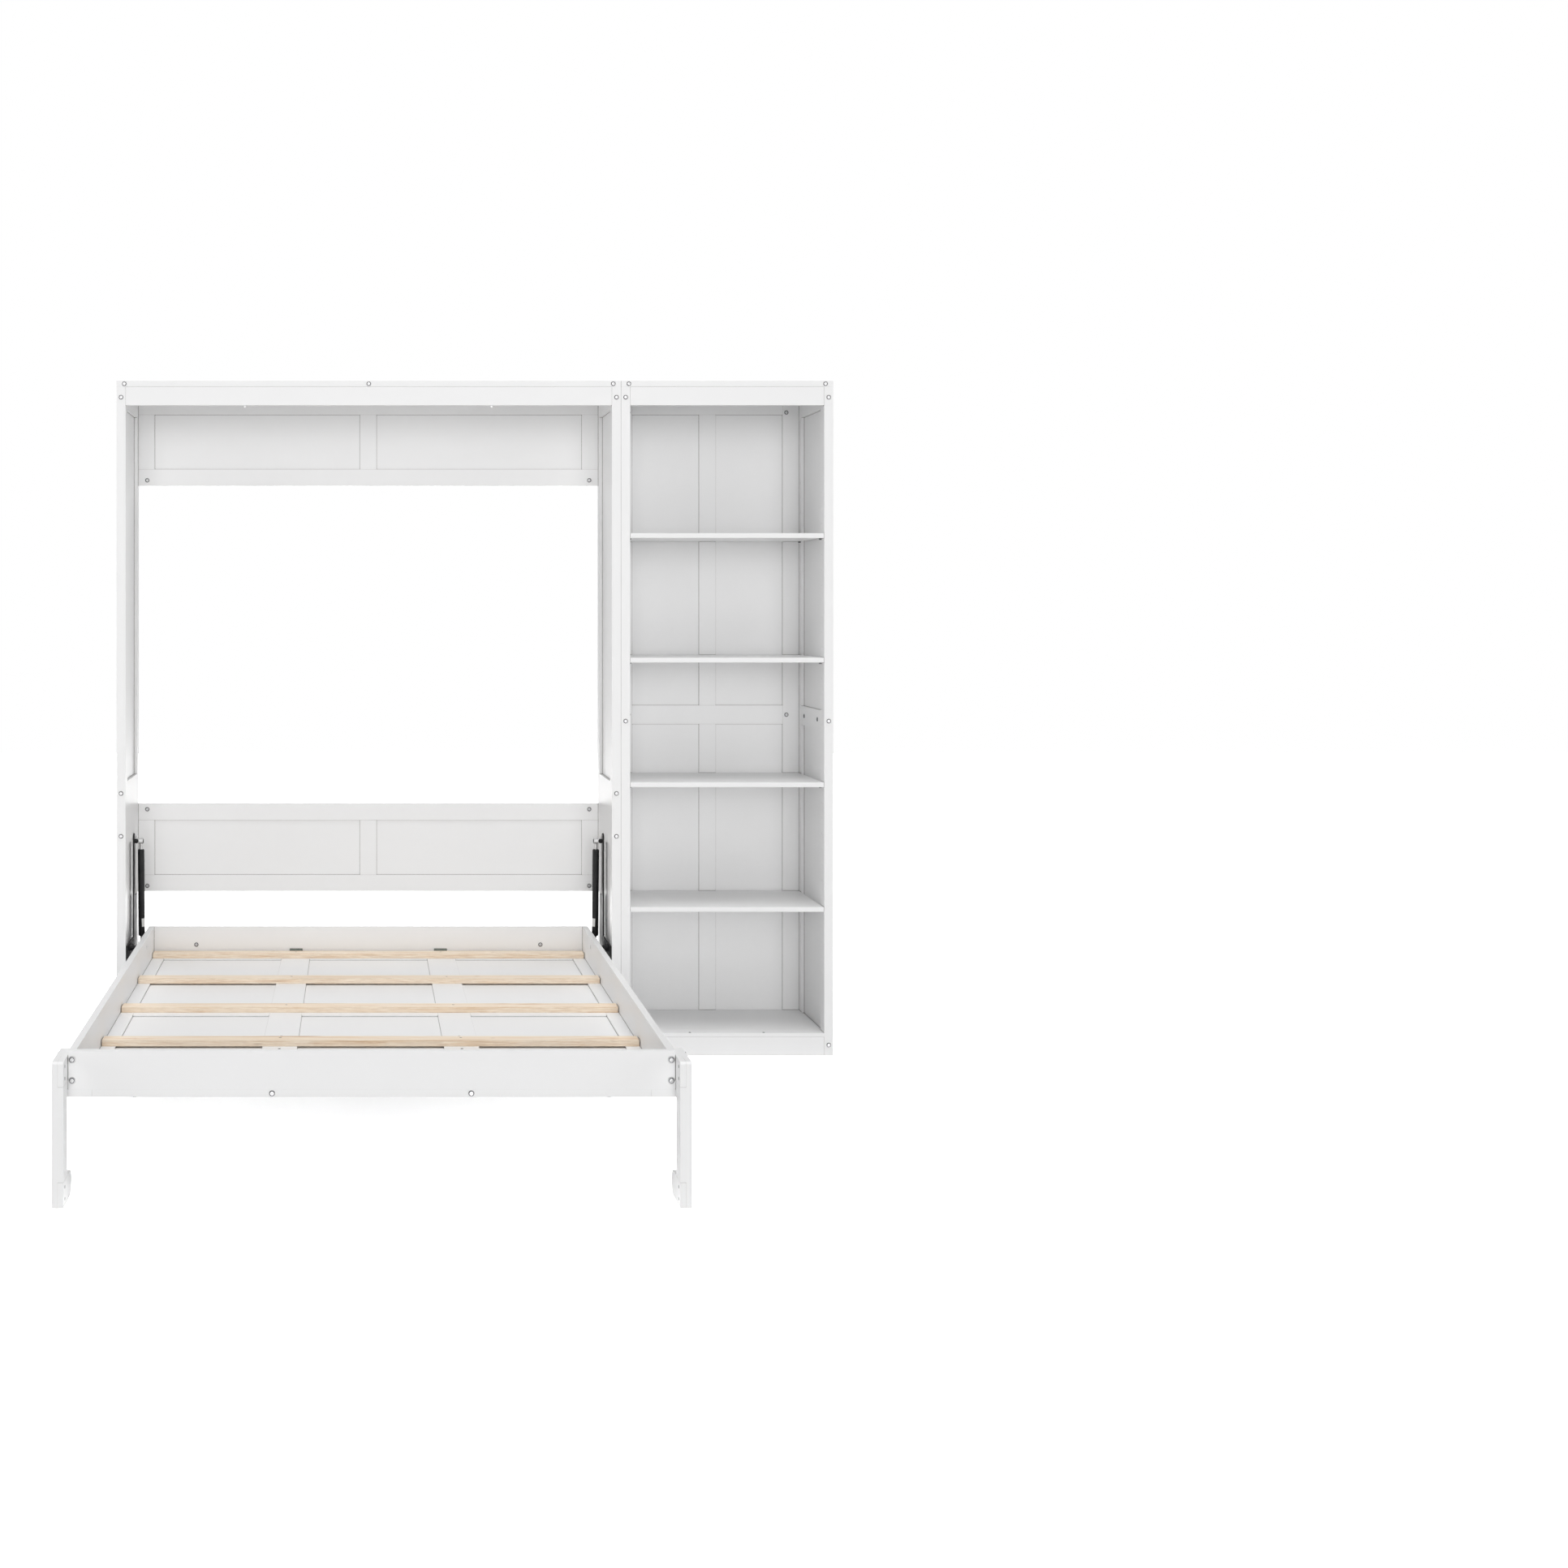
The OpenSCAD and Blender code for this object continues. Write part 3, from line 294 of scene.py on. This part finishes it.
ZINC_DARK, ZINC_LIGHT = (0.34, 0.34, 0.345), (0.47, 0.47, 0.47)
# Painted shade: the slanted flanks of small zinc heads are coloured near black, for the dark
# ring of shade round each head.
FLANK_DARK, FLANK_LIGHT = (0.025, 0.025, 0.03), (0.06, 0.06, 0.065)
ANGLE_DARK, ANGLE_LIGHT = (0.10, 0.12, 0.11), (0.17, 0.19, 0.175)
NICKEL_DARK, NICKEL_LIGHT = (0.165, 0.151, 0.141), (0.245, 0.226, 0.212)
SHADED_METAL = 0.85


def zinc():
    """Zinc plating with a cloudy bloom."""
    g = Graph("zinc_plate")
    cloud, plate = g.cloudy(260.0, 4.0, ZINC_DARK, ZINC_LIGHT)
    g.color(plate)
    g.put("Metallic", 1.0)
    g.rough(cloud, 0.44, 0.56)
    g.bump(cloud, 0.08, FINE_RELIEF)
    return g.material


def dull_zinc_and_painted_shade(name, low, high):
    """Dull dark plating for the angle brackets, and painted shade on the slanted flanks of small
    heads.
    """
    g = Graph(name)
    cloud, plate = g.cloudy(260.0, 4.0, low, high)
    g.color(plate)
    g.put("Metallic", SHADED_METAL)
    g.rough(cloud, 0.32, 0.48)
    return g.material


def brushed_nickel():
    """Nickel brushed round the bar, so its scratches run across it."""
    g = Graph("brushed_nickel")
    brush = g.noise(g.coords((4.0, 120.0, 4.0)), 30.0, 4.0)
    g.color(g.ramp(brush, [(CLOUD_LOW, NICKEL_DARK), (CLOUD_HIGH, NICKEL_LIGHT)]))
    g.put("Metallic", 1.0)
    g.rough(brush, 0.34, 0.46)
    g.bump(brush, 0.10, FINE_RELIEF)
    return g.material


# ---------------------------------------------------------------- pieces
def longest_axis(faces):
    """The index of the axis along which a board, given by its faces, is longest."""
    points = [vertex.co for face in faces for vertex in face.verts]
    sizes = [max(p[i] for p in points) - min(p[i] for p in points) for i in range(3)]
    return sizes.index(max(sizes))


def islands(mesh):
    """The separate solids of a mesh, each a list of its faces."""
    seen = set()
    found = []
    for face in mesh.faces:
        if face.index in seen:
            continue
        seen.add(face.index)
        group = []
        queue = [face]
        while queue:
            current = queue.pop()
            group.append(current)
            for edge in current.edges:
                for other in edge.link_faces:
                    if other.index not in seen:
                        seen.add(other.index)
                        queue.append(other)
        found.append(group)
    return found


WELD = 0.002 * MM
FLAT_WITHIN = math.radians(0.5)
SHARP = math.radians(35)
SMOOTH_UNDER = math.radians(50)
FACE_FIRST = 100
FLANK_LIMIT = 0.97
EDGE = 1.0 * MM
PANEL_EDGE = 0.5 * MM
SEAM_EDGE = 2.2 * MM
SLAT_EDGE = 2.5 * MM
BAR_EDGE = 0.6 * MM
# The two side frames that stand against each other: the line between them shows most.
SEAM_FRAMES = ("cabinet_side_frame_right", "tower_side_frame_left")
PAINTS = [white_paint(axis) for axis in "XYZ"]


def eased(node, width, segments=2, materials=None):
    """A copy of a CAD node with its sharp edges rounded by width; it stands for the node.

    Without materials it is painted, each board with the grain along its length.
    """
    source = NODES[node]
    mesh = bmesh.new()
    mesh.from_mesh(source.data)
    bmesh.ops.remove_doubles(mesh, verts=mesh.verts, dist=WELD)
    bmesh.ops.dissolve_limit(mesh, angle_limit=FLAT_WITHIN, verts=mesh.verts, edges=mesh.edges)
    mesh.faces.ensure_lookup_table()
    mesh.faces.index_update()
    if materials is None:
        for board in islands(mesh):
            grain = longest_axis(board)
            for face in board:
                face.material_index = grain
        materials = PAINTS
    data = bpy.data.meshes.new(node + "_eased")
    mesh.to_mesh(data)
    mesh.free()
    piece = bpy.data.objects.new(node + "_eased", data)
    bpy.context.scene.collection.objects.link(piece)
    for material in materials:
        data.materials.append(material)
    bevel = piece.modifiers.new("ease", "BEVEL")
    bevel.width = width
    bevel.segments = segments
    bevel.limit_method = "ANGLE"
    bevel.angle_limit = SHARP
    bevel.use_clamp_overlap = True
    apply_modifiers(piece)
    smooth_by_angle(piece.data)
    flat = piece.modifiers.new("flat", "WEIGHTED_NORMAL")
    flat.mode = "FACE_AREA"
    flat.weight = FACE_FIRST
    flat.keep_sharp = True
    apply_modifiers(piece)
    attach(piece, BODY_OF[node])
    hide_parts(node)


def smooth_by_angle(data):
    """Smooth faces, with every edge sharper than SMOOTH_UNDER kept crisp."""
    mesh = bmesh.new()
    mesh.from_mesh(data)
    for face in mesh.faces:
        face.smooth = True
    for edge in mesh.edges:
        edge.smooth = len(edge.link_faces) == 2 and edge.calc_face_angle(0) < SMOOTH_UNDER
    mesh.to_mesh(data)
    mesh.free()


def apply_modifiers(piece):
    """Puts the result of a piece's modifiers in place of its mesh."""
    depsgraph = bpy.context.evaluated_depsgraph_get()
    result = bpy.data.meshes.new_from_object(piece.evaluated_get(depsgraph))
    piece.modifiers.clear()
    old = piece.data
    piece.data = result
    bpy.data.meshes.remove(old)


def dress(node, material, flank=None):
    """Gives a CAD node that stays as it is its material, and its slanted faces another; on zinc
    heads that other one is painted shade.
    """
    data = NODES[node].data
    data.materials.clear()
    data.materials.append(material)
    if flank is not None:
        data.materials.append(flank)
        for face in data.polygons:
            face.material_index = int(max(abs(c) for c in face.normal) < FLANK_LIMIT)


def strut_of(side):
    """The stud that a strut hangs from and the way down its tube, from the record's joints."""
    joints = {row["name"]: row for row in frame["record"]["behaviour"]["joints"]}
    stud = joints[f"strut_{side}_swing"]["pos_m"]
    return tuple(stud), tuple(joints[f"rod_{side}_slide"]["axis"])


LABEL_SIDES = {"left": (1, -0.35, 0), "right": (-1, -0.35, 0)}
STRUTS = {
    f"strut_tube_{side}": strut_finish(f"strut_{side}", *strut_of(side), way)
    for side, way in LABEL_SIDES.items()
}
PINE = laminated_pine()
BLACK = black_enamel()
ZINC = zinc()
# Painted shade for the slanted flanks of zinc heads.
FLANK_SHADE = dull_zinc_and_painted_shade("painted_shade_zinc", FLANK_DARK, FLANK_LIGHT)
ANGLE = dull_zinc_and_painted_shade("aged_zinc", ANGLE_DARK, ANGLE_LIGHT)
NICKEL = brushed_nickel()

for node, slot in SLOT_OF.items():
    if slot == "white_paint" and "panels" in node:
        eased(node, PANEL_EDGE, 1)
    elif node in SEAM_FRAMES:
        eased(node, SEAM_EDGE)
    elif slot == "white_paint":
        eased(node, EDGE)
    elif slot == "bare_wood":
        eased(node, SLAT_EDGE, 3, [PINE])
    elif slot == "black_steel":
        dress(node, STRUTS.get(node, BLACK))
    elif node == "head_brackets":
        dress(node, ANGLE)
    elif slot == "zinc":
        # Zinc heads: plated faces, with painted shade on their slanted flanks.
        dress(node, ZINC, FLANK_SHADE)
    elif slot == "brushed_nickel":
        eased(node, BAR_EDGE, 2, [NICKEL])

# ---------------------------------------------------------------- stage, light and camera
FLOOR_REACH = 14.0
FLOOR_DROP = 0.5 * MM
FLOOR_COLOR = (0.70, 0.70, 0.70)
FLOOR_SEEN = (4.0, 4.0, 4.0)
WORLD_COLOR = (0.985, 0.99, 1.0)
WORLD_STRENGTH = 0.02
WHITE = (1.0, 1.0, 1.0)


def seen_directly(tree):
    """1 for a ray from the camera, from a gloss or through glass, and 0 for diffuse light."""
    path = tree.nodes.new("ShaderNodeLightPath")
    value = path.outputs["Is Camera Ray"]
    for name in ("Is Glossy Ray", "Is Transmission Ray"):
        larger = tree.nodes.new("ShaderNodeMath")
        larger.operation = "MAXIMUM"
        tree.links.new(value, larger.inputs[0])
        tree.links.new(path.outputs[name], larger.inputs[1])
        value = larger.outputs[0]
    return value


def make_floor():
    """A floor that throws back FLOOR_COLOR, looks white where it is lit and keeps the shadow."""
    mesh = bmesh.new()
    bmesh.ops.create_grid(mesh, x_segments=1, y_segments=1, size=FLOOR_REACH)
    data = bpy.data.meshes.new("floor")
    mesh.to_mesh(data)
    mesh.free()
    floor = bpy.data.objects.new("floor", data)
    bpy.context.scene.collection.objects.link(floor)
    floor.location.z = -FLOOR_DROP
    material = bpy.data.materials.new("floor_white")
    material.use_nodes = True
    tree = material.node_tree
    tree.nodes.clear()
    diffuse = tree.nodes.new("ShaderNodeBsdfDiffuse")
    mix = tree.nodes.new("ShaderNodeMix")
    mix.data_type = "RGBA"
    mix.inputs[MIX_A].default_value = (*FLOOR_COLOR, 1)
    mix.inputs[MIX_B].default_value = (*FLOOR_SEEN, 1)
    tree.links.new(seen_directly(tree), mix.inputs[MIX_FACTOR])
    tree.links.new(mix.outputs[MIX_COLOR], diffuse.inputs["Color"])
    output = tree.nodes.new("ShaderNodeOutputMaterial")
    tree.links.new(diffuse.outputs[0], output.inputs[0])
    data.materials.append(material)


def make_world():
    """A faint even light on the object, and a white background behind it."""
    world = bpy.data.worlds.new("studio")
    bpy.context.scene.world = world
    world.use_nodes = True
    tree = world.node_tree
    tree.nodes.clear()
    output = tree.nodes.new("ShaderNodeOutputWorld")
    mix = tree.nodes.new("ShaderNodeMixShader")
    tree.links.new(seen_directly(tree), mix.inputs[0])
    for socket, color, strength in ((1, WORLD_COLOR, WORLD_STRENGTH), (2, WHITE, 1.0)):
        background = tree.nodes.new("ShaderNodeBackground")
        background.inputs["Color"].default_value = (*color, 1)
        background.inputs["Strength"].default_value = strength
        tree.links.new(background.outputs[0], mix.inputs[socket])
    tree.links.new(mix.outputs[0], output.inputs[0])


def soft_sun(name, azimuth, elevation, strength, spread):
    """A broad even light from that side: azimuth 0 shines along +Y, elevation is upward."""
    data = bpy.data.lights.new(name, "SUN")
    data.energy = strength
    data.angle = math.radians(spread)
    lamp = bpy.data.objects.new(name, data)
    bpy.context.scene.collection.objects.link(lamp)
    around, up = math.radians(azimuth), math.radians(elevation)
    shine = Vector((
        math.sin(around) * math.cos(up), math.cos(around) * math.cos(up), -math.sin(up)
    ))
    lamp.rotation_euler = shine.to_track_quat("-Z", "Y").to_euler()


make_floor()
make_world()
# Strengths fitted to the photograph's tones: from the front, from both sides, from above.
SIDE_SPREAD, TOP_SPREAD = 30, 60
soft_sun("front", 0, 0, 0.78, SIDE_SPREAD)
soft_sun("front_high", 0, 12, 0.50, SIDE_SPREAD)
for side, way in (("left", 1), ("right", -1)):
    soft_sun(f"key_{side}", 60 * way, 8, 0.25, SIDE_SPREAD)
    soft_sun(f"rim_{side}", 75 * way, 8, 0.32, SIDE_SPREAD)
soft_sun("top", 0, 80, 2.12, TOP_SPREAD)

# The photograph's camera: level, square to the cabinet, solved from the cabinet's edges.
IMAGE = 1932
FOCAL_PX = 2646.6
VANISH_X = 443.0
HORIZON_Y = 742.0
SENSOR = 36.0
CAMERA = (-0.3590, -6.043, 1.411)


def make_camera():
    data = bpy.data.cameras.new("camera")
    data.sensor_width = SENSOR
    data.sensor_fit = "HORIZONTAL"
    data.lens = SENSOR * FOCAL_PX / IMAGE
    data.shift_x = (IMAGE / 2 - VANISH_X) / IMAGE
    data.shift_y = (HORIZON_Y - IMAGE / 2) / IMAGE
    camera = bpy.data.objects.new("camera", data)
    bpy.context.scene.collection.objects.link(camera)
    camera.location = CAMERA
    camera.rotation_euler = (math.pi / 2, 0, 0)
    bpy.context.scene.camera = camera


make_camera()
bpy.context.scene.view_settings.view_transform = "Standard"
